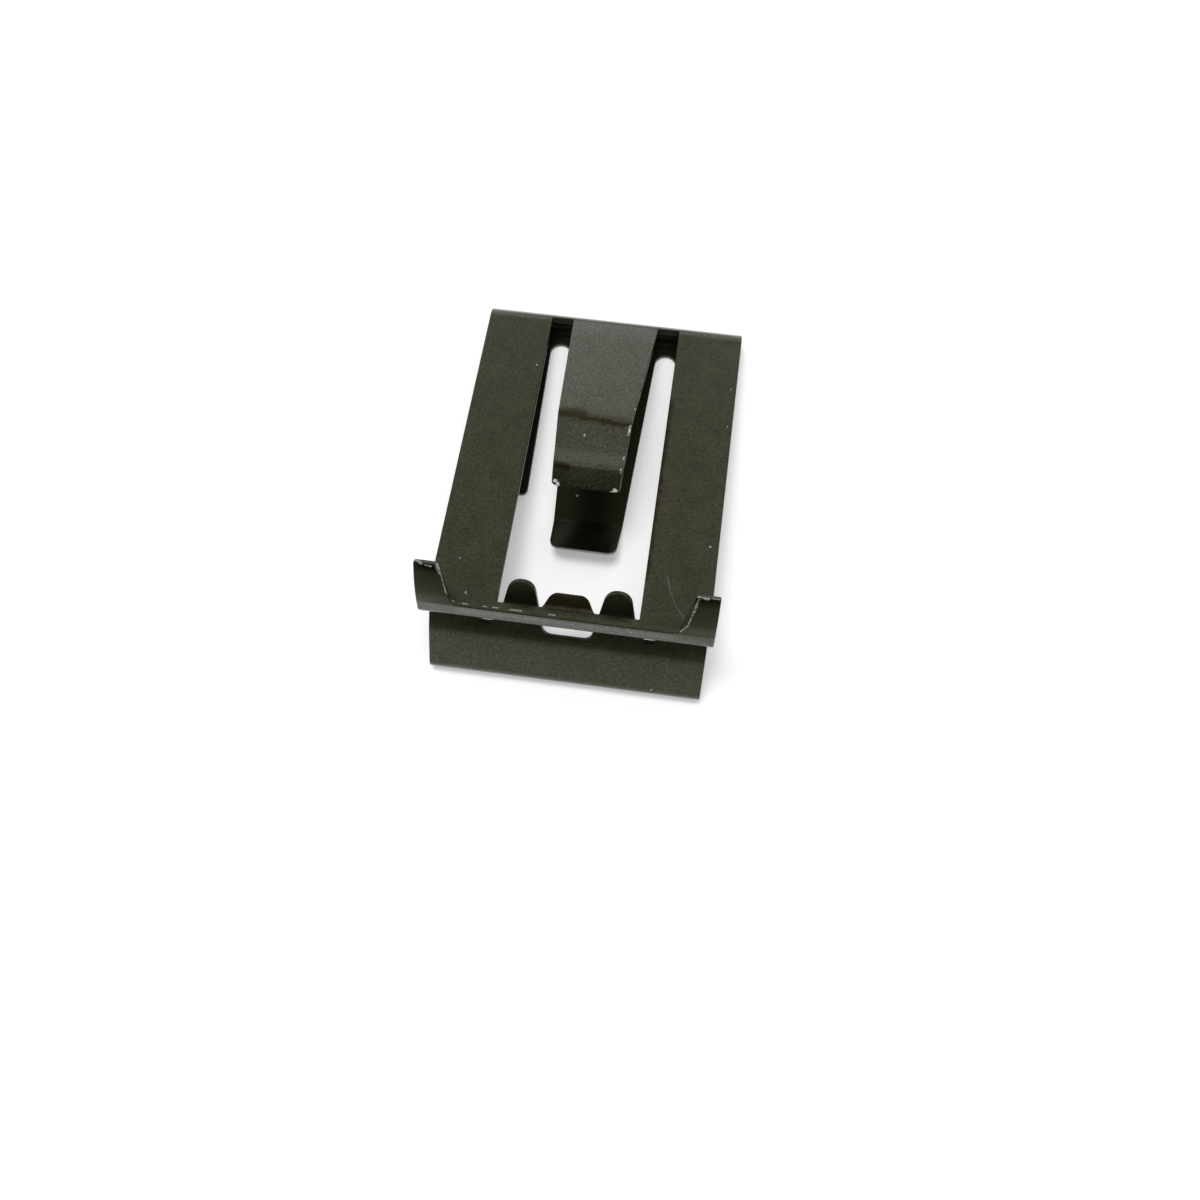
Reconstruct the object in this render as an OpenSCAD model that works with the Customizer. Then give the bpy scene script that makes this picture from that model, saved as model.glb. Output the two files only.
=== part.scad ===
// Push-in spring clip, folded from one strip of spring steel.
// The strip starts at the two teeth, runs down the end wall, rolls under into the back
// layer, folds over at the nose, comes back as the two front legs and ends in a turned-up
// flange with two ears. A tongue is cut free from each layer and points to the head.
// The clip lies on its back layer: X runs across it, Y from the head to the nose, Z up.

/* [Sheet] */
// Thickness of the spring steel
sheet = 0.5; // [0.4:0.05:0.6]
// Width of the clip across its legs
body_width = 20; // [19:0.5:25]

/* [Legs] */
// Length of the window between the front legs, from the nose bend to the cross strip
leg_length = 24.75; // [23:0.05:30]
// Width of each leg
leg_width = 4.95; // [4.4:0.05:5.4]
// Angle at which the front legs rise from the nose to the head
leg_rise = 8.9; // [7:0.1:11]
// Outside radius of the nose bend
nose_radius = 1.2; // [1:0.05:1.6]

/* [Front tongue] */
// Width of both tongues at the nose
tongue_root = 6.8; // [5.8:0.1:7.6]
// Width of the front tongue at the end of its lip
front_tip = 4.9; // [3.6:0.05:5.6]
// Angle at which the front tongue stands off the legs
front_rise = 19; // [12:0.5:24]
// Length of the front tongue from the nose to its crease
front_flat = 11.75; // [9:0.05:13]
// Length of the sloping face between the crease and the step
crease_face = 2.1; // [1.4:0.1:2.8]
// Length of the step before the lip
step_face = 0.9; // [0.5:0.1:1.6]
// Length of the lip at the end of the front tongue
lip_face = 1.45; // [1:0.05:2]
// Angle of the sloping face below the legs
crease_fall = 18; // [10:1:26]
// Angle of the step below the legs
step_fall = 4; // [0:1:8]
// Angle of the lip below the legs
lip_fall = 28; // [20:1:40]
// Inside radius of the bends in both tongues and in the strip's tab
tongue_bend = 0.6; // [0.4:0.05:0.8]
// Corner radius at the tips of both tongues
tongue_corner = 0.7; // [0.4:0.05:1]

/* [Back tongue] */
// Distance from the nose bend to the round ends of the back slots
slot_start = 0.7; // [0.5:0.1:1.5]
// Length of the back tongue from the slots' ends to its turned-up tip
back_flat = 14.8; // [12:0.1:15.6]
// Width of the back tongue at its tip
back_tip = 5; // [3.8:0.1:5.8]
// Length of the turned-up tip
back_lip = 3.1; // [2:0.1:3.6]
// Angle through which the tip turns up
back_turn = 33; // [20:1:42]
// Length of the back slots, from their round ends to the wide part of the back window
slot_length = 13.2; // [11:0.1:14.5]
// Width of each back leg beside the wide part of the back window
back_leg = 2.8; // [2.4:0.1:3.2]
// Corner radius where the back window widens
widening = 0.5; // [0.3:0.05:0.6]

/* [Flange] */
// Depth of the cross strip between the window and the flange
strip_depth = 0.6; // [0.4:0.05:1.2]
// Inside radius of the bend from the strip into the flange
flange_bend = 0.4; // [0.3:0.05:0.7]
// Slope of the flange at its foot, from the table
flange_slope = 75; // [66:1:82]
// Angle through which the ears curl back over the legs
ear_curl = 27; // [14:1:36]
// Height of the band between the ears, along the sheet
band_height = 0.8; // [0.6:0.1:1.4]
// Height of the ears, along the sheet
ear_height = 4.25; // [3.2:0.05:5]
// Width of each ear at its top
ear_top = 1.7; // [1.2:0.05:2.3]
// Width of each ear at its foot
ear_foot = 2.45; // [2:0.05:3.4]
// How far each ear stands out past the legs
ear_overhang = 0.35; // [0.2:0.05:0.8]
// Fillet between the ears and the band
ear_fillet = 0.8; // [0.4:0.1:1.2]
// Gap between the strip's middle tab and the teeth
tab_gap = 0.4; // [0.2:0.05:0.6]
// Width of the tab at its end
tab_end = 2.5; // [2:0.1:2.8]
// Length of the tab
tab_length = 1.05; // [0.9:0.05:1.4]
// Angle at which the tab turns up
tab_turn = 30; // [15:1:40]
// Corner radius of the tab
tab_corner = 0.8; // [0.3:0.05:0.8]
// How far the tab's foot flares out at the strip
tab_flare = 0.2; // [0.1:0.05:0.3]

/* [End wall] */
// Outside radius of the roll between the back layer and the end wall
roll_radius = 0.9; // [0.8:0.05:1.4]
// Slope of the lower end wall, from the table
wall_low_slope = 50.5; // [48:0.5:60]
// Slope of the upper end wall and the teeth, from the table
wall_top_slope = 44; // [42:0.5:47.5]
// Outside radius of the bend between the lower and the upper end wall
wall_bend = 4; // [2:0.5:6]
// Gap between the teeth and the cross strip
tooth_gap = 0.15; // [0.1:0.05:0.3]
// Gap between each tooth and the leg beside it
tooth_side_gap = 0.35; // [0.2:0.05:0.5]
// Height of the teeth past the strip, along the wall
tooth_height = 1.95; // [1.4:0.05:2.6]
// Width of each tooth level with the strip
tooth_width = 2.55; // [2.1:0.05:2.8]
// Width of each tooth at its tip
tooth_tip = 1.7; // [1.6:0.05:2]
// Corner radius of the tooth tips
tooth_corner = 0.95; // [0.3:0.05:0.95]
// Radius where the teeth flare into the outer notches
tooth_flare = 1; // [0.5:0.1:1.5]
// How far that flare brings the outer notches off the line of the teeth's sides
notch_flare = 0.25; // [0.15:0.05:0.45]
// Depth of the middle notch below the strip, along the wall
mid_notch = 2.15; // [1.9:0.05:2.5]
// Corner radius at the bottom of the middle notch
notch_corner = 0.7; // [0.3:0.05:0.8]
// Depth of the outer notches below the strip, along the wall
side_notch = 1.65; // [1.5:0.05:2]
// Width of each outer notch
side_notch_width = 1.2; // [1:0.05:1.4]
// Corner radius at the bottom of the outer notches
side_notch_corner = 0.45; // [0.2:0.05:0.45]
// How far the wall's shoulders stay below the strip, along the wall
shoulder_drop = 0.7; // [0.5:0.05:0.9]
// Corner radius of the shoulders
shoulder_corner = 0.3; // [0.15:0.05:0.35]
// Length of the back layer between the roll and the back window
sill = 1.6; // [1.2:0.1:2.6]

/* [Hidden] */
$fn = 48;
// Largest angle of one facet of a bend
bend_step = 6;
// Facets of a rounded corner
corner_parts = 8;
// How far cuts run past the sheet
past = 1;
// Length that reaches past the whole clip
reach = 40;

window = body_width - 2 * leg_width;
flange_width = body_width + 2 * ear_overhang;
slot_width = (window - tongue_root) / 2;
tooth_out = window / 2 - tooth_side_gap;
tooth_in = tooth_out - tooth_width;
tab_root = 2 * (tooth_in - tab_gap);

// The nose bend starts at the origin; the strip's far lower corner follows from the legs.
strip_far = [
    nose_radius * sin(leg_rise) - leg_length * cos(leg_rise),
    nose_radius * (1 + cos(leg_rise)) + leg_length * sin(leg_rise)
];
strip_under = strip_far - sheet * [sin(leg_rise), cos(leg_rise)];
// The upper end wall passes behind that corner, and the roll's place closes the loop.
wall_pass = strip_under + tooth_gap * [sin(wall_top_slope), -cos(wall_top_slope)];
wall_drop = mid_notch + sheet;
wall_low = (wall_pass[1] - roll_radius * (1 + cos(wall_low_slope))
    - wall_bend * (cos(wall_top_slope) - cos(wall_low_slope))
    - wall_drop * sin(wall_top_slope)) / sin(wall_low_slope);
roll_y = wall_pass[0] - wall_drop * cos(wall_top_slope)
    - wall_bend * (sin(wall_low_slope) - sin(wall_top_slope))
    - wall_low * cos(wall_low_slope) + roll_radius * sin(wall_low_slope);
middle_y = (nose_radius + roll_y - roll_radius) / 2;

// Each step of a fold is a flat's length, the turn after it (left is positive) and the
// turn's inside radius. A pose is a point on the sheet's right face and its heading.
nose_inside = nose_radius - sheet;
leg_heading = 180 - leg_rise;
tongue_heading = leg_heading - front_rise;
nose_pose = [0, 0, 0];
wall_top = tooth_height + past;
wall_start = wall_pass + wall_top * [cos(wall_top_slope), sin(wall_top_slope)];
tooth_pose = [wall_start[0], wall_start[1], 180 + wall_top_slope];
wall_steps = [
    [wall_top + wall_drop, wall_low_slope - wall_top_slope, wall_bend - sheet],
    [wall_low, 0, 0]
];
loop_steps = [
    [wall_low, 180 - wall_low_slope, roll_radius - sheet],
    [-roll_y, tongue_heading, nose_inside],
    [0, front_rise, nose_inside],
    [leg_length, 0, 0],
    [strip_depth, flange_slope - leg_heading, flange_bend],
    [0, -ear_curl, ear_height / (ear_curl * PI / 180)]
];
wall_pose = pose_after(tooth_pose, wall_steps, 1);
tongue_pose = pose_after(wall_pose, loop_steps, 2);
leg_pose = pose_after(wall_pose, loop_steps, 3);
strip_pose = pose_after(wall_pose, loop_steps, 4);
flange_pose = pose_after(wall_pose, loop_steps, 5);

// The front tongue leaves the nose two facets before its own heading.
root_turn = 2 * tongue_heading / ceil(tongue_heading / bend_step);
root_pose = turned(nose_pose, [0, tongue_heading - root_turn, nose_inside]);
front_steps = [
    [0, root_turn, nose_inside],
    [front_flat, front_rise + crease_fall, tongue_bend],
    [crease_face, step_fall - crease_fall, tongue_bend],
    [step_face, lip_fall - step_fall, tongue_bend],
    [lip_face + past, 0, 0]
];
lip_pose = pose_after(root_pose, front_steps, 4);
lip_end = turned(lip_pose, [lip_face, 0, 0]);
front_length = (lip_end[0] - root_pose[0]) * cos(tongue_heading)
    + (lip_end[1] - root_pose[1]) * sin(tongue_heading);

back_pose = [-slot_start, sheet, 180];
back_steps = [
    [back_flat, -back_turn, tongue_bend],
    [back_lip + past, 0, 0]
];
back_end = turned(pose_after(back_pose, back_steps, 1), [back_lip, 0, 0]);

// Pose at the end of one step.
function turned(pose, step) =
    let (a = pose[2], b = a + step[1])
    let (x = pose[0] + step[0] * cos(a), y = pose[1] + step[0] * sin(a))
    let (r = step[1] < 0 ? -step[2] : sheet + step[2])
    [x + r * (sin(b) - sin(a)), y - r * (cos(b) - cos(a)), b];

// Point beside a pose: along its heading, and to its left into the sheet.
function beside(pose, along, left) = [
    pose[0] + along * cos(pose[2]) - left * sin(pose[2]),
    pose[1] + along * sin(pose[2]) + left * cos(pose[2])
];

// Pose after the first steps of a fold.
function pose_after(start, steps, count) =
    count == 0 ? start : turned(pose_after(start, steps, count - 1), steps[count - 1]);

// All poses of a fold, with its bends taken in facets.
function poses(start, steps) = concat([start], [
    for (i = [0:len(steps) - 1])
    let (pose = pose_after(start, steps, i), parts = ceil(abs(steps[i][1]) / bend_step))
    for (k = [steps[i][0] > 0 ? 0 : 1:1:parts])
    turned(pose, [steps[i][0], parts == 0 ? 0 : steps[i][1] * k / parts, steps[i][2]])
]);

// Length of the side from corner c to corner n that the rounding of c may take up.
function side_share(c, n) = norm([n[0] - c[0], n[1] - c[1]]) * (n[2] > 0 ? c[2] / (c[2] + n[2]) : 1);

// Outline with each corner [x, y, radius] rounded by its radius, or by less on a short side.
function rounded(corners) = [
    for (i = [0:len(corners) - 1])
    let (n = len(corners), c = corners[i], p = corners[(i + n - 1) % n], q = corners[(i + 1) % n])
    let (u = [p[0] - c[0], p[1] - c[1]] / norm([p[0] - c[0], p[1] - c[1]]))
    let (v = [q[0] - c[0], q[1] - c[1]] / norm([q[0] - c[0], q[1] - c[1]]))
    let (half = acos(u * v) / 2, turn = u[0] * v[1] - u[1] * v[0] > 0 ? -1 : 1)
    let (r = min(c[2], tan(half) * side_share(c, p), tan(half) * side_share(c, q)))
    let (m = [c[0], c[1]] + (u + v) / norm(u + v) * r / sin(half))
    let (start = [c[0], c[1]] + u * r / tan(half) - m, parts = r > 0 ? corner_parts : 0)
    for (k = [0:parts])
    let (a = parts == 0 ? 0 : turn * (180 - 2 * half) * k / parts)
    m + [start[0] * cos(a) - start[1] * sin(a), start[0] * sin(a) + start[1] * cos(a)]
];

// Corners on the right of the clip's middle, followed by those on its left.
function mirrored(corners) = concat(corners, [
    for (i = [len(corners) - 1:-1:0]) [-corners[i][0], corners[i][1], corners[i][2]]
]);

// Solid across the clip, on a side view of it.
module across(width, outline) {
    rotate([90, 0, 90]) linear_extrude(width, center = true) polygon(outline);
}

// Sheet folded along its steps.
module folded(start, steps, width) {
    line = poses(start, steps);
    right = [for (p = line) beside(p, 0, 0)];
    left = [for (p = line) beside(p, 0, sheet)];
    turn_back = [for (i = [len(left) - 1:-1:0]) left[i]];
    across(width, concat(right, turn_back));
}

// Frame on the sheet: X across, Y along the heading, Z into the sheet from its right face.
module on_sheet(pose) {
    translate([0, pose[0], pose[1]]) rotate([pose[2], 0, 0]) children();
}

// Prism through the sheet on an outline with rounded corners.
module prism(corners, above, below) {
    translate([0, 0, -above]) linear_extrude(above + below) polygon(rounded(corners));
}

// Cut between the front legs, from the facet where the tongue leaves the nose to the strip.
module front_window() {
    inner = sheet + nose_inside / 2;
    start = [for (depth = [-past, 0, sheet, inner]) beside(tongue_pose, 0, depth)];
    end = [for (depth = [inner, sheet, 0, -past]) beside(strip_pose, 0, depth)];
    across(window, concat(start, [beside(leg_pose, 0, inner)], end));
}

module back_window() {
    far = -slot_start - slot_width / 2;
    wide = -slot_start - slot_length;
    near = roll_y + sill;
    half = body_width / 2 - back_leg;
    prism(mirrored([
        [window / 2, far, 0],
        [window / 2, wide, widening],
        [half, wide, widening],
        [half, near, slot_width]
    ]), past, sheet + nose_inside / 2);
    for (side = [-1, 1])
        translate([side * (window - slot_width) / 2, far, -past])
            cylinder(d = slot_width, h = past + sheet + nose_inside / 2);
}

// Trims the sheet to the legs' width everywhere except on the flange above the strip.
module side_trim() {
    edge = leg_length + strip_depth / 2;
    over = -flange_bend / 2;
    under = 1.5 * sheet;
    outline = [
        [-reach, over], [edge, over], [edge, under],
        [reach, under], [reach, reach], [-reach, reach]
    ];
    for (side = [-1, 1])
        translate([side * (body_width + reach) / 2, 0, 0])
            across(reach, [for (p = outline) beside(leg_pose, p[0], p[1])]);
}

// Opening above the band, between the ears.
module ear_opening() {
    half = flange_width / 2;
    slant = (ear_foot - ear_top) / (ear_height - band_height);
    on_sheet([flange_pose[0], flange_pose[1], flange_pose[2] - ear_curl / 2])
        prism(mirrored([
            [half - ear_top + slant * past, ear_height + past, 0],
            [half - ear_foot, band_height, ear_fillet]
        ]), past, sheet + past);
}

// End wall, cut along its upper edge into the teeth, the notches and the shoulders.
module end_wall() {
    slant = (tooth_width - tooth_tip) / 2 / tooth_height;
    side_notch_in = tooth_out + slant * side_notch + notch_flare;
    side_notch_out = side_notch_in + side_notch_width;
    tip_out = tooth_out - slant * tooth_height;
    intersection() {
        folded(tooth_pose, wall_steps, body_width);
        on_sheet([wall_pass[0], wall_pass[1], wall_top_slope])
            prism(mirrored([
                [body_width, -reach, 0],
                [body_width, -shoulder_drop, 0],
                [side_notch_out, -shoulder_drop, shoulder_corner],
                [side_notch_out, -side_notch, side_notch_corner],
                [side_notch_in, -side_notch, side_notch_corner],
                [tooth_out, 0, tooth_flare],
                [tip_out, tooth_height, tooth_corner],
                [tip_out - tooth_tip, tooth_height, tooth_corner],
                [tooth_in - slant * mid_notch, -mid_notch, notch_corner]
            ]), reach, reach);
    }
}

module front_tongue() {
    taper = (tongue_root - front_tip) / 2 / front_length;
    intersection() {
        folded(root_pose, front_steps, tongue_root);
        on_sheet([root_pose[0], root_pose[1], tongue_heading])
            prism(mirrored([
                [tongue_root / 2 + taper * past, -past, 0],
                [front_tip / 2 - taper * past, front_length + past, 0]
            ]), reach, reach);
        on_sheet(lip_pose)
            prism(mirrored([
                [tongue_root, -reach, 0],
                [front_tip / 2 + tongue_corner / 4, lip_face, tongue_corner]
            ]), reach, reach);
    }
}

module back_tongue() {
    root = -slot_start - slot_width / 2;
    intersection() {
        folded(back_pose, back_steps, tongue_root);
        prism(mirrored([
            [tongue_root / 2, 0, 0],
            [tongue_root / 2, root, 0],
            [back_tip / 2, back_end[0], tongue_corner]
        ]), past, reach);
    }
}

// Small tab in the middle of the cross strip, turned up between the teeth.
module strip_tab() {
    foot = tab_root / 2 + tab_flare;
    edge = beside(strip_pose, strip_depth, 0);
    under = beside(strip_pose, strip_depth, sheet);
    heading = strip_pose[2] + 180;
    tab_steps = [
        [strip_depth, tab_turn, tongue_bend],
        [tab_length + sheet, 0, 0]
    ];
    intersection() {
        folded([under[0], under[1], heading], tab_steps, 2 * foot);
        on_sheet([edge[0], edge[1], heading])
            prism(mirrored([
                [foot, 0, 0],
                [foot, strip_depth - tab_flare / 4, 0],
                [tab_root / 2, strip_depth + tab_flare, 0],
                [tab_end / 2, strip_depth + tab_length, tab_corner]
            ]), reach, reach);
    }
}

module spring_clip() {
    color([0.22, 0.22, 0.2]) translate([0, -middle_y, 0]) {
        difference() {
            folded(wall_pose, loop_steps, flange_width);
            front_window();
            back_window();
            side_trim();
            ear_opening();
        }
        end_wall();
        front_tongue();
        back_tongue();
        strip_tab();
    }
}

spring_clip();
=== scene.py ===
import math

import bpy
from mathutils import Matrix, Vector
from mathutils.bvhtree import BVHTree


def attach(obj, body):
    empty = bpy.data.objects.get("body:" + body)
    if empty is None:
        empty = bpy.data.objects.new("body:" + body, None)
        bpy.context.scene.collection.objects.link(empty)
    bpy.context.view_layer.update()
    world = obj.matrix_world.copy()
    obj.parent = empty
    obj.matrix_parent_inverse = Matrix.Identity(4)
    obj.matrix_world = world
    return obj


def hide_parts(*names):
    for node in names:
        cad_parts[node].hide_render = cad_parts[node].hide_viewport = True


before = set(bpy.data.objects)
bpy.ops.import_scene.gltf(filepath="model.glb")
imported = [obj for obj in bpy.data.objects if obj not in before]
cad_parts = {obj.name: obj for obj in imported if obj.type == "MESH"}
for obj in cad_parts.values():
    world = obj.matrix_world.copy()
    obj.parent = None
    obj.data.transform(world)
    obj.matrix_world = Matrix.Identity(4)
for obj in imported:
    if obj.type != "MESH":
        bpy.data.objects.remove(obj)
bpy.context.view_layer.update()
print("frame loaded:", sorted(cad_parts))


# a socket of a node tree; sums on it add Math nodes
class Wire:
    def __init__(self, tree, socket=None):
        self.tree = tree
        self.socket = socket

    # any other node: its type, its settings, its sockets' values or links, and the output to go on from
    def node(self, kind, settings=None, values=None, out=0):
        made = self.tree.nodes.new(kind)
        for name, value in (settings or {}).items():
            setattr(made, name, value)
        for name, value in (values or {}).items():
            into = self.pick(made.inputs, name)
            if isinstance(value, Wire):
                self.tree.links.new(value.socket, into)
            else:
                into.default_value = value
        return Wire(self.tree, self.pick(made.outputs, out) if made.outputs else None)

    def pick(self, sockets, name):
        if isinstance(name, int):
            return sockets[name]
        return next((s for s in sockets if s.identifier == name), None) or sockets[name]

    def sum(self, operation, other, flipped=False):
        pair = (other, self) if flipped else (self, other)
        return self.node("ShaderNodeMath", {"operation": operation}, {0: pair[0], 1: pair[1]})

    def __add__(self, other): return self.sum("ADD", other)
    def __radd__(self, other): return self.sum("ADD", other, True)
    def __sub__(self, other): return self.sum("SUBTRACT", other)
    def __rsub__(self, other): return self.sum("SUBTRACT", other, True)
    def __mul__(self, other): return self.sum("MULTIPLY", other)
    def __rmul__(self, other): return self.sum("MULTIPLY", other, True)

    # 0 below low, 1 above high, smooth between; high below low turns it round
    def ease(self, low, high):
        return self.node("ShaderNodeMapRange", {"interpolation_type": "SMOOTHSTEP"},
                         {"Value": self, "From Min": low, "From Max": high}, "Result")

    # under where this is 0, over where it is 1
    def blend(self, under, over):
        paint = {"A_Color": under, "B_Color": over}
        paint = {k: c if isinstance(c, Wire) else (*c, 1) for k, c in paint.items()}
        return self.node("ShaderNodeMix", {"data_type": "RGBA"}, {"Factor_Float": self, **paint}, "Result_Color")

    def vector(self, operation, other, out="Vector"):
        return self.node("ShaderNodeVectorMath", {"operation": operation}, {0: self, 1: other}, out)


def newMaterial(name):
    made = bpy.data.materials.new(name)
    made.use_nodes = True
    made.node_tree.nodes.clear()
    return made, Wire(made.node_tree)


def deselect():
    if bpy.context.object and bpy.context.object.mode != "OBJECT":
        bpy.ops.object.mode_set(mode="OBJECT")
    bpy.ops.object.select_all(action="DESELECT")


def makeActive(thing):
    deselect()
    thing.select_set(True)
    bpy.context.view_layer.objects.active = thing


# the folded sheet
clip = {
    "edgeRound": 0.00008,      # rounding of the sheared edges
    "edgeSegments": 3,
    "edgeAngle": 50,           # only the sheared edges are sharper than this
    "smoothAngle": 30,
    "weld": 1e-7,
    "flatAngle": 0.5,          # triangles that turn less than this become one face
    "sheet": 0.0005,           # gauge, to tell the sheared faces from the rolled ones
    "gaugeSlack": 1.1,
    "rayStart": 1e-6,          # the look for the sheet's other face starts this far under a face
    "rayReach": 0.02,
}


def buildClip():
    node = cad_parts["spring_clip"]
    piece = bpy.data.objects.new("clipSheet", node.data.copy())
    bpy.context.scene.collection.objects.link(piece)
    piece.data.materials.clear()
    makeActive(piece)
    bpy.ops.object.mode_set(mode="EDIT")
    bpy.ops.mesh.select_all(action="SELECT")
    bpy.ops.mesh.remove_doubles(threshold=clip["weld"])
    bpy.ops.mesh.dissolve_limited(angle_limit=math.radians(clip["flatAngle"]))
    bpy.ops.object.mode_set(mode="OBJECT")
    markSheared(piece)
    rounding = piece.modifiers.new("edgeRound", "BEVEL")
    rounding.width = clip["edgeRound"]
    rounding.segments = clip["edgeSegments"]
    rounding.limit_method = "ANGLE"
    rounding.angle_limit = math.radians(clip["edgeAngle"])
    rounding.use_clamp_overlap = False
    rounding.miter_outer = "MITER_ARC"
    rounding.material = 1      # the rounded faces come out with the second material's number
    bpy.ops.object.modifier_apply(modifier=rounding.name)
    markRim(piece)
    bpy.ops.object.mode_set(mode="EDIT")
    bpy.ops.mesh.select_all(action="SELECT")
    bpy.ops.mesh.quads_convert_to_tris()
    bpy.ops.object.mode_set(mode="OBJECT")
    bpy.ops.object.shade_smooth_by_angle(angle=math.radians(clip["smoothAngle"]))
    print("clip sheet:", len(piece.data.polygons), "triangles")
    return piece


# a face is rolled where the sheet's other face lies one gauge behind it, and sheared where not
def markSheared(piece):
    mesh = piece.data
    tree = BVHTree.FromPolygons([v.co for v in mesh.vertices], [p.vertices for p in mesh.polygons])
    mark = mesh.attributes.new("sheared", "FLOAT", "FACE")
    for face in mesh.polygons:
        start = face.center - face.normal * clip["rayStart"]
        depth = tree.ray_cast(start, -face.normal, clip["rayReach"])[3]
        mark.data[face.index].value = 0 if depth and depth < clip["sheet"] * clip["gaugeSlack"] else 1


def markRim(piece):
    mark = piece.data.attributes.new("rim", "FLOAT", "FACE")
    for face in piece.data.polygons:
        mark.data[face.index].value = face.material_index
        face.material_index = 0


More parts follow.
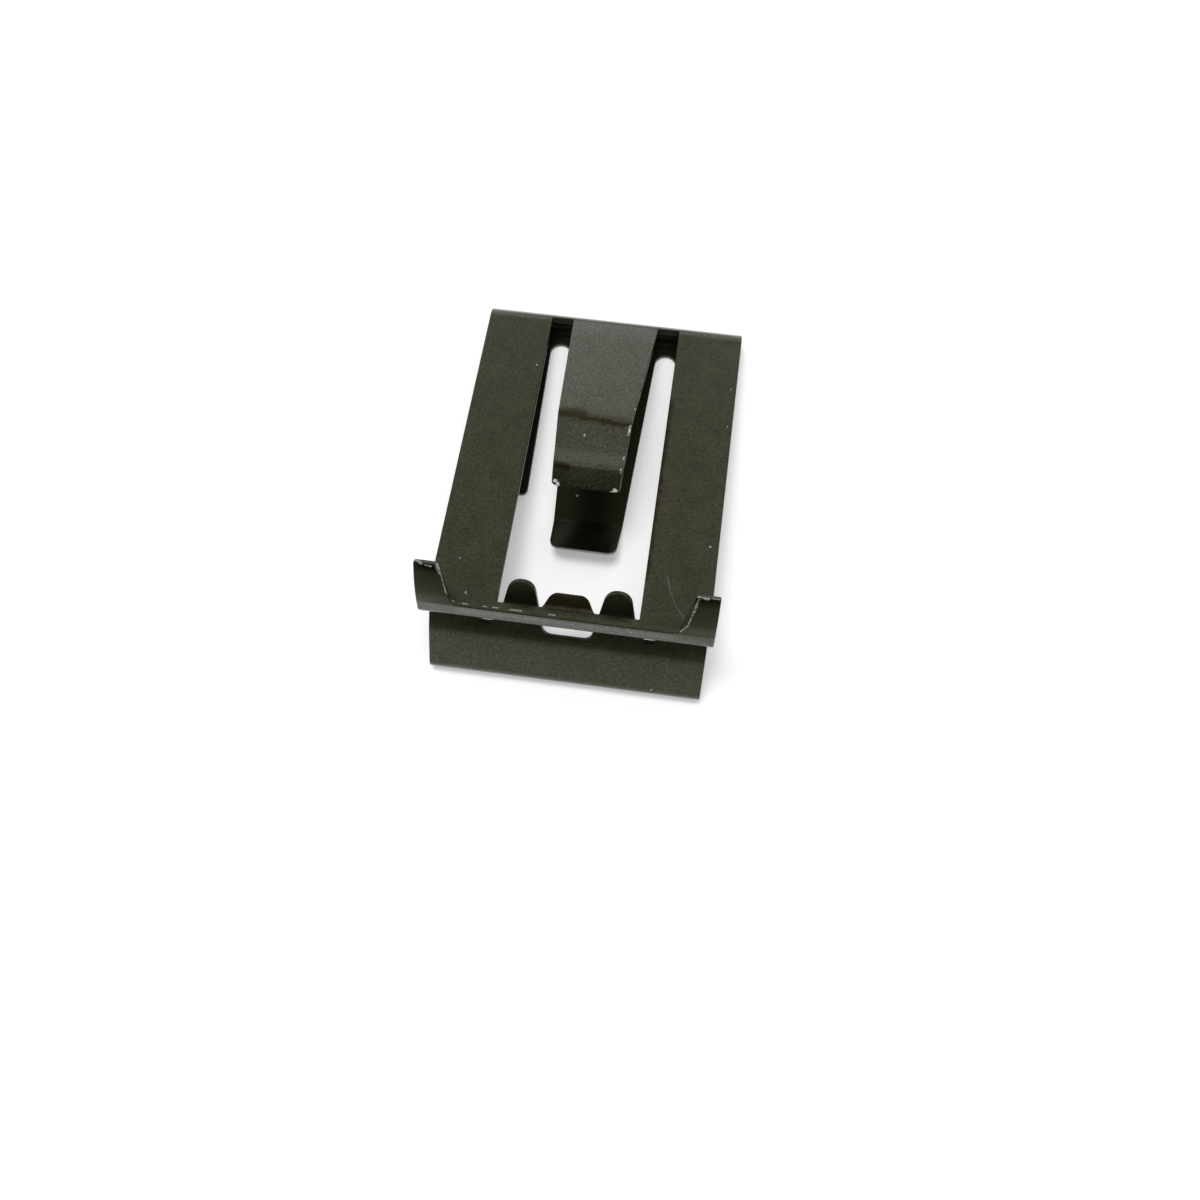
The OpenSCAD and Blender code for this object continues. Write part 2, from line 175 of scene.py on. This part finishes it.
# black phosphate with an oil film, with painted shade in closed-in places and painted sheen and highlights in
# others; places in metres on the clip
finish = {
    "dark": (0.010, 0.010, 0.0055),
    "olive": (0.029, 0.0285, 0.017),
    "rubbedLitGrey": (0.030, 0.030, 0.025),
    "brown": (0.010, 0.0062, 0.0025),
    # near black: painted shade in closed-in places, on the ears' tops and on the back layer's inner face
    "paintedShade": (0.002, 0.002, 0.0016),
    "steel": (0.50, 0.50, 0.47),
    "dust": (0.34, 0.34, 0.32),
    # size, detail and roughness of each noise: crystals, cloudy patches and what pushes outlines about
    "noises": {"grain": (0.00014, 3, 0.65), "fine": (0.000063, 2, 0.55),
               "cloud": (0.0016, 4, 0.55), "redCloud": (0.00272, 3, 0.55),
               "ragged": (0.000252, 2, 0.55), "blotched": (0.00064, 4, 0.7)},
    "raggedBy": 0.0003,
    "blotchedBy": 0.0009,
    "grainShare": 0.6,         # of the crystals, the rest is the finer noise
    "cloudShare": 0.2,         # of the colour's mottle
    "spotCore": 0.6,           # the full strength of a spot or stroke reaches this far out
    "strokeCore": 0.3,
    # where each mask starts and is full; on the grain it breaks a layer up
    "colourGrain": (0.41, 0.59),
    "filmGrain": (0.40, 0.60),
    "rubbedHighlightGrain": (0.3, 0.6),
    "wornGrain": (0.28, 0.4),
    "edgeGrain": (0.42, 0.56),
    "rimGrain": (0.58, 0.68),
    "brownGrain": (0.45, 0.6),
    "brownCloud": (0.58, 0.74),
    "facingUp": (0.2, 0.6),
    "hollow": (0.3, 0.8),           # from closed in to open; closed-in places get painted shade
    "hollowReach": 0.008,
    # heights over the legs' plane, given by y and z of its normal and its distance
    "legPlane": (0.1547, 0.9880, 0.004481),
    "inside": (-0.0008, -0.0014),   # the back layer's inner face is painted black as shade
    "raised": (0.0002, 0.0012),     # what stands over the legs gets rubbed lighter, partly a painted highlight
    "rimRaised": (0.0003, 0.0009),
    "legLevel": (0.0008, 0.0002),
    # places along the clip for the back layer's painted shade, the painted sheen towards the nose and the painted
    # shade towards the head, and the height from which the ears' tops get painted shade
    "insideAlong": (-0.0095, 0.0125),
    "insideFade": 0.001,
    "noseAlong": (0, 0.014),
    "headAlong": (-0.0105, -0.0115),
    "earTopShade": (0.0072, 0.0092),
    # how strongly each layer shows
    "depth": {"stains": 0.95, "redCloud": 0.4, "ears": 0.8, "earCut": 0.7, "edgeWearAndHighlight": 0.8, "rim": 0.35, "scratches": 0.15},
    "rough": {"base": 0.25, "grain": 0.16, "sheared": 0.12, "hollow": 0.35},
    # the oil film's sheen: what makes it, then what thins it; more on rubbed faces and towards the nose is painted
    # sheen, and less on the ears' tops, towards the head and on the back layer's inner face is painted shade
    "film": {"base": 0.35, "grain": 0.8, "rubbedHighlight": 0.3, "nose": 0.25},
    "thin": {"brown": 0.95, "earTopShade": 0.95, "head": 0.3, "inside": 0.95, "sheared": 0.6, "bareAndHighlight": 1},
    "filmRoughness": 0.25,
    "specular": 0.2,
    "specularTint": (1.0, 0.96, 0.45, 1),
    "bumpStrength": 0.25,
    "bumpHeight": 0.00002,
    # rubbed a little lighter, wear together with a painted highlight on the tongue's flat and the band, from one
    # end to the other, with its reach
    "rubbedHighlight": [((-0.0026, 0.0003, 0.0076), (0.0026, 0.0003, 0.0076), 0.0007),
               ((-0.0070, -0.0121, 0.0070), (0.0072, -0.0121, 0.0070), 0.0010)],
    # bare steel along the cut edges, worn with specks on the ears' tops and the band, and a painted highlight
    # along the tongue's edge and the ears' inner edges, from one end to the other, with its width
    "edgeWearAndHighlight": [((0.00259, 0.0030, 0.00788), (0.00253, 0.0023, 0.00775), 0.00012),
              ((0.00246, 0.0007, 0.00755), (0.00244, 0.0005, 0.00755), 0.00009),
              ((0.00237, -0.0003, 0.0076), (0.00235, -0.0006, 0.00755), 0.00009),
              ((-0.0087, -0.0100, 0.0107), (-0.00853, -0.0103, 0.01029), 0.00022),
              ((-0.00853, -0.0103, 0.01029), (-0.00817, -0.01125, 0.00891), 0.00014),
              ((-0.00817, -0.01125, 0.00891), (-0.00775, -0.01155, 0.0079), 0.0001),
              ((-0.01034, -0.0097, 0.0106), (-0.0098, -0.0100, 0.0108), 0.00016),
              ((-0.0095, -0.0101, 0.01075), (-0.0091, -0.0101, 0.0107), 0.00008),
              ((0.0089, -0.0100, 0.0107), (0.00866, -0.01074, 0.0099), 0.00014),
              ((0.00866, -0.01074, 0.0099), (0.0084, -0.01143, 0.00874), 0.00008),
              ((0.0084, -0.01143, 0.00874), (0.00793, -0.01174, 0.00806), 0.00006),
              ((0.0088, -0.0099, 0.0108), (0.0095, -0.0100, 0.0108), 0.00014),
              ((0.0098, -0.0099, 0.0108), (0.01034, -0.0099, 0.0108), 0.0001),
              ((-0.00714, -0.0116, 0.00768), (-0.0068, -0.0116, 0.00768), 0.00007),
              ((-0.0057, -0.0116, 0.00768), (-0.00545, -0.0116, 0.00768), 0.00006),
              ((-0.0050, -0.0116, 0.00768), (-0.0047, -0.0116, 0.00768), 0.00009),
              ((-0.0038, -0.0116, 0.00768), (-0.00305, -0.0116, 0.00768), 0.00009),
              ((-0.0011, -0.0116, 0.00768), (-0.0007, -0.0116, 0.00768), 0.00007),
              ((0.00425, -0.01192, 0.00777), (0.00462, -0.01205, 0.00724), 0.00008)],
    # bare steel, with its reach
    "worn": [(-0.00222, -0.00158, 0.00717, 0.00017), (-0.00202, -0.00178, 0.0071, 0.0002),
             (0.00213, -0.00184, 0.00708, 0.00025), (0.00190, -0.00194, 0.00702, 0.00018),
             (0.00262, 0.00262, 0.0078, 0.00014), (0.00277, 0.00464, 0.00725, 0.00009)],
    # dust and nicks
    "specks": [(-0.00057, 0.00195, 0.0077, 0.00012), (-0.00733, -0.01031, 0.00615, 0.00009),
               (-0.00826, -0.00776, 0.00575, 0.00008), (0.00934, -0.00445, 0.00523, 0.00009),
               (-0.00554, 0.00939, 0.00307, 0.00008), (0.00959, 0.00577, 0.00363, 0.00008),
               (0.00957, 0.00921, 0.00309, 0.00007), (0.00642, -0.01458, 0.00141, 0.00008),
               (-0.00116, 0.00004, 0.0005, 0.0001)],
    # scratches, from one end to the other, with their width
    "scratches": [((0.00663, -0.00722, 0.00567), (0.00689, -0.0082, 0.00582), 0.00007),
                  ((0.00689, -0.0082, 0.00582), (0.00736, -0.00922, 0.00598), 0.00005),
                  ((0.00736, -0.00922, 0.00598), (0.00811, -0.01026, 0.00614), 0.00005),
                  ((-0.00975, -0.01281, 0.00356), (-0.00924, -0.0131, 0.00321), 0.00005)],
    # brown staining, from one end to the other, with its reach
    "stains": [((-0.0027, 0.0035, 0.00786), (-0.0010, 0.0036, 0.00786), 0.0007),
               ((-0.0010, 0.0032, 0.00788), (0.0026, 0.0030, 0.00788), 0.0003),
               ((-0.0024, -0.0005, 0.0076), (-0.0014, -0.0006, 0.0076), 0.0004),
               ((-0.0022, -0.0019, 0.0070), (0.0021, -0.0019, 0.0070), 0.0002),
               ((0.0050, -0.0075, 0.0057), (0.0051, 0.0075, 0.0034), 0.0004),
               ((-0.0015, -0.0102, 0.0063), (0.0015, -0.0102, 0.0063), 0.0008)],
}


def phosphateFinish():
    made, shade = newMaterial("blackPhosphate")
    place = shade.node("ShaderNodeTexCoord", out="Object")

    def noise(name, out="Fac"):
        size, detail, rough = finish["noises"][name]
        return shade.node("ShaderNodeTexNoise", {}, {
            "Vector": place, "Scale": 1 / size, "Detail": detail, "Roughness": rough}, out)

    def attribute(name):
        return shade.node("ShaderNodeAttribute", {"attribute_name": name}, out="Fac")

    def axis(letter, of):
        return shade.node("ShaderNodeSeparateXYZ", {}, {"Vector": of}, letter)

    # the place pushed about by a noise, for uneven outlines
    def pushed(name, reach):
        push = noise(name, "Color").vector("SUBTRACT", (0.5,) * 3)
        return place.vector("ADD", push.vector("MULTIPLY", (reach,) * 3))

    def spot(x, y, z, size):
        return ragged.vector("DISTANCE", (x, y, z), "Value").ease(size, size * finish["spotCore"])

    def stroke(start, end, width, where):
        run = Vector(end) - Vector(start)
        away = where.vector("SUBTRACT", start)
        share = shade.node("ShaderNodeClamp", {}, {
            "Value": away.vector("DOT_PRODUCT", tuple(run / run.length_squared), "Value")})
        foot = shade.node("ShaderNodeVectorMath", {"operation": "SCALE"}, {0: tuple(run), "Scale": share})
        return away.vector("DISTANCE", foot, "Value").ease(width, width * finish["strokeCore"])

    def gather(masks):
        whole = masks[0]
        for mask in masks[1:]:
            whole = whole.sum("MAXIMUM", mask)
        return whole

    def strokes(name, where=place):
        return gather([stroke(*s, where) for s in finish[name]])

    def spots(name):
        return gather([spot(*s) for s in finish[name]])

    grain = noise("grain")
    crystals = grain * finish["grainShare"] + noise("fine") * (1 - finish["grainShare"])
    broken = lambda name: crystals.ease(*finish[name])
    ragged = pushed("ragged", finish["raggedBy"])
    blotched = pushed("blotched", finish["blotchedBy"])
    sheared = attribute("sheared")
    along = axis("Y", place)
    upward = axis("Z", shade.node("ShaderNodeTexCoord", out="Normal")).ease(*finish["facingUp"])
    legY, legZ, legReach = finish["legPlane"]
    lift = place.vector("DOT_PRODUCT", (0, legY, legZ), "Value") - legReach
    headEnd, noseEnd = finish["insideAlong"]
    # the back layer's inner face, facing up, gets painted shade
    inside = lift.ease(*finish["inside"]) * upward
    inside = inside * along.ease(headEnd - finish["insideFade"], headEnd)
    inside = inside * along.ease(noseEnd + finish["insideFade"], noseEnd)
    # how open each place is to the room; closed-in places get painted shade
    openToLight = shade.node("ShaderNodeAmbientOcclusion", {"samples": 8, "only_local": True},
                          {"Distance": finish["hollowReach"]}, "AO").ease(*finish["hollow"])
    depth = finish["depth"]
    # the ears' tops, but not their cut faces, get painted shade
    earTopShade = axis("Z", place).ease(*finish["earTopShade"]) * (1 - sheared * depth["earCut"])

    # each layer of colour lies over the one before
    mottle = noise("cloud") * finish["cloudShare"] + crystals * (1 - finish["cloudShare"])
    colour = mottle.ease(*finish["colourGrain"]).blend(finish["dark"], finish["olive"])
    # painted highlight together with wear: the tongue's flat and the band go lighter grey and get more sheen
    rubbedHighlight = strokes("rubbedHighlight") * lift.ease(*finish["raised"]) * (1 - sheared)
    colour = (rubbedHighlight * broken("rubbedHighlightGrain")).blend(colour, finish["rubbedLitGrey"])
    redCloud = noise("redCloud").ease(*finish["brownCloud"]) * broken("brownGrain")
    brown = gather([strokes("stains", blotched) * depth["stains"], redCloud * depth["redCloud"]])
    colour = brown.blend(colour, finish["brown"])
    # painted shade: closed-in places, the ears' tops and the back layer's inner face go near black
    colour = (openToLight * (1 - earTopShade * depth["ears"]) * (1 - inside)).blend(finish["paintedShade"], colour)
    worn = spots("worn") * broken("wornGrain")
    # bare steel along edges: wear, and a painted highlight on the tongue's edge and the ears' inner edges
    edgeWearAndHighlight = strokes("edgeWearAndHighlight") * broken("edgeGrain")
    rim = attribute("rim") * lift.ease(*finish["rimRaised"]) * broken("rimGrain")
    bareAndHighlight = gather([worn, edgeWearAndHighlight * depth["edgeWearAndHighlight"], rim * depth["rim"]])
    colour = bareAndHighlight.blend(colour, finish["steel"])
    marks = gather([spots("specks"), strokes("scratches") * depth["scratches"]])
    colour = marks.blend(colour, finish["dust"])

    rough = finish["rough"]
    roughness = rough["base"] + (grain - 0.5) * rough["grain"]
    roughness = roughness + sheared * rough["sheared"] + (1 - openToLight) * rough["hollow"]

    # painted sheen on the legs towards the nose
    nose = along.ease(*finish["noseAlong"]) * lift.ease(*finish["legLevel"])
    # painted shade: less sheen on the legs towards the head
    head = along.ease(*finish["headAlong"]) * (1 - rubbedHighlight)
    film = finish["film"]["base"] + broken("filmGrain") * finish["film"]["grain"]
    film = film + rubbedHighlight * finish["film"]["rubbedHighlight"] + nose * finish["film"]["nose"]
    thinning = {"brown": brown, "earTopShade": earTopShade, "head": head, "inside": inside, "sheared": sheared, "bareAndHighlight": bareAndHighlight}
    for name, mask in thinning.items():
        film = film * (1 - mask * finish["thin"][name])
    # painted shade: less sheen in closed-in places
    film = film * openToLight

    bump = shade.node("ShaderNodeBump", {}, {
        "Height": crystals, "Strength": finish["bumpStrength"], "Distance": finish["bumpHeight"]}, "Normal")
    coat = shade.node("ShaderNodeBsdfPrincipled", {}, {
        "Base Color": colour, "Roughness": roughness, "Normal": bump,
        "Specular IOR Level": finish["specular"], "Specular Tint": finish["specularTint"],
        "Coat Weight": film, "Coat Roughness": finish["filmRoughness"]}, "BSDF")
    shade.node("ShaderNodeOutputMaterial", {}, {"Surface": coat})
    print("finish: black phosphate")
    return made


# white table, soft room, a lamp above, a weak one behind and a dark card on the viewer's side
studio = {
    "floor": 0.88,
    "floorSize": 3,
    "floorGlow": 0.27,         # what the camera and reflections see on top of it
    "farGlow": 0.72,           # the same away from the lamps, to keep the far floor white
    "farReach": (0.10, 0.42),
    "room": 0.50,
    # place, size and power of each light
    "lamps": {"above": ((-0.035, 0.03, 0.32), 0.11, 0.50), "behind": ((0.10, 0.22, 0.28), 0.16, 0.10)},
    "cardFoot": (-0.30, 0.06),      # y and z of the card's lower and upper edge
    "cardTop": (-0.06, 0.45),
    "cardWidth": 1.2,
    "cardShade": 0.03,
}


# 1 for what the camera, a reflection or a see-through surface looks at
def seen(shade):
    path = lambda out: shade.node("ShaderNodeLightPath", out=out)
    return path("Is Camera Ray").sum("MAXIMUM", path("Is Glossy Ray")).sum("MAXIMUM", path("Is Transmission Ray"))


def paperFloor():
    made, shade = newMaterial("whitePaper")
    paper = shade.node("ShaderNodeBsdfDiffuse", {}, {"Color": (*(studio["floor"],) * 3, 1)}, "BSDF")
    away = shade.node("ShaderNodeTexCoord", out="Object").vector("DISTANCE", (0, 0, 0), "Value")
    glowing = away.ease(*studio["farReach"]).blend((studio["floorGlow"],) * 3, (studio["farGlow"],) * 3)
    glow = shade.node("ShaderNodeEmission", {}, {"Color": glowing, "Strength": seen(shade)}, "Emission")
    both = shade.node("ShaderNodeAddShader", {}, {0: paper, 1: glow})
    shade.node("ShaderNodeOutputMaterial", {}, {"Surface": both})
    return made


def darkCard():
    made, shade = newMaterial("darkCard")
    card = shade.node("ShaderNodeBsdfDiffuse", {}, {"Color": (*(studio["cardShade"],) * 3, 1)}, "BSDF")
    shade.node("ShaderNodeOutputMaterial", {}, {"Surface": card})
    return made


def buildRoom():
    world = bpy.data.worlds.new("room")
    bpy.context.scene.world = world
    world.use_nodes = True
    world.node_tree.nodes.clear()
    sky = Wire(world.node_tree)
    strength = studio["room"] + seen(sky) * (1 - studio["room"])
    light = sky.node("ShaderNodeBackground", {}, {"Color": (1, 1, 1, 1), "Strength": strength}, "Background")
    sky.node("ShaderNodeOutputWorld", {}, {"Surface": light})


def buildStage():
    deselect()
    bpy.ops.mesh.primitive_plane_add(size=studio["floorSize"])
    floor = bpy.context.object
    floor.name = "floor"
    floor.data.materials.append(paperFloor())

    buildRoom()
    for name, (lampAt, size, power) in studio["lamps"].items():
        deselect()
        bpy.ops.object.light_add(type="AREA", location=lampAt)
        lamp = bpy.context.object
        lamp.name = name
        lamp.rotation_euler = (-lamp.location).to_track_quat("-Z", "Y").to_euler()
        lamp.data.size = size
        lamp.data.energy = power
        lamp.visible_glossy = False     # the sheet mirrors the room and not the lamps

    deselect()
    foot, top = Vector((0, *studio["cardFoot"])), Vector((0, *studio["cardTop"]))
    lean = math.atan2(top.z - foot.z, top.y - foot.y)
    bpy.ops.mesh.primitive_plane_add(size=1, location=(foot + top) / 2, rotation=(lean, 0, 0))
    card = bpy.context.object
    card.name = "card"
    card.scale = (studio["cardWidth"], (top - foot).length, 1)
    bpy.ops.object.transform_apply(location=True, rotation=True, scale=True)
    card.data.materials.append(darkCard())
    card.visible_camera = False
    card.visible_diffuse = False        # only mirrored, so that the table keeps its light
    card.visible_shadow = False
    print("stage: floor, room, lamps and card")


# camera fitted to the photograph's viewing angle, for a square frame
view = {
    "lens": 34.68,
    "sensor": 36,
    "nearest": 0.001,
    "place": (0.00714, -0.031812, 0.08396),
    "right": (0.99023, 0.13726, -0.02480),
    "up": (-0.12499, 0.95212, 0.27901),
    "back": (0.06191, -0.27319, 0.95997),
}


def buildCamera():
    data = bpy.data.cameras.new("camera")
    data.lens = view["lens"]
    data.sensor_width = view["sensor"]
    data.clip_start = view["nearest"]
    camera = bpy.data.objects.new("camera", data)
    bpy.context.scene.collection.objects.link(camera)
    turn = Matrix((view["right"], view["up"], view["back"])).transposed().to_4x4()
    camera.matrix_world = Matrix.Translation(view["place"]) @ turn
    bpy.context.scene.camera = camera
    print("camera: at the photograph's angle")


buildCamera()
piece = buildClip()
piece.data.materials.append(phosphateFinish())
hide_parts("spring_clip")
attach(piece, "root")
buildStage()
bpy.context.scene.view_settings.view_transform = "Standard"
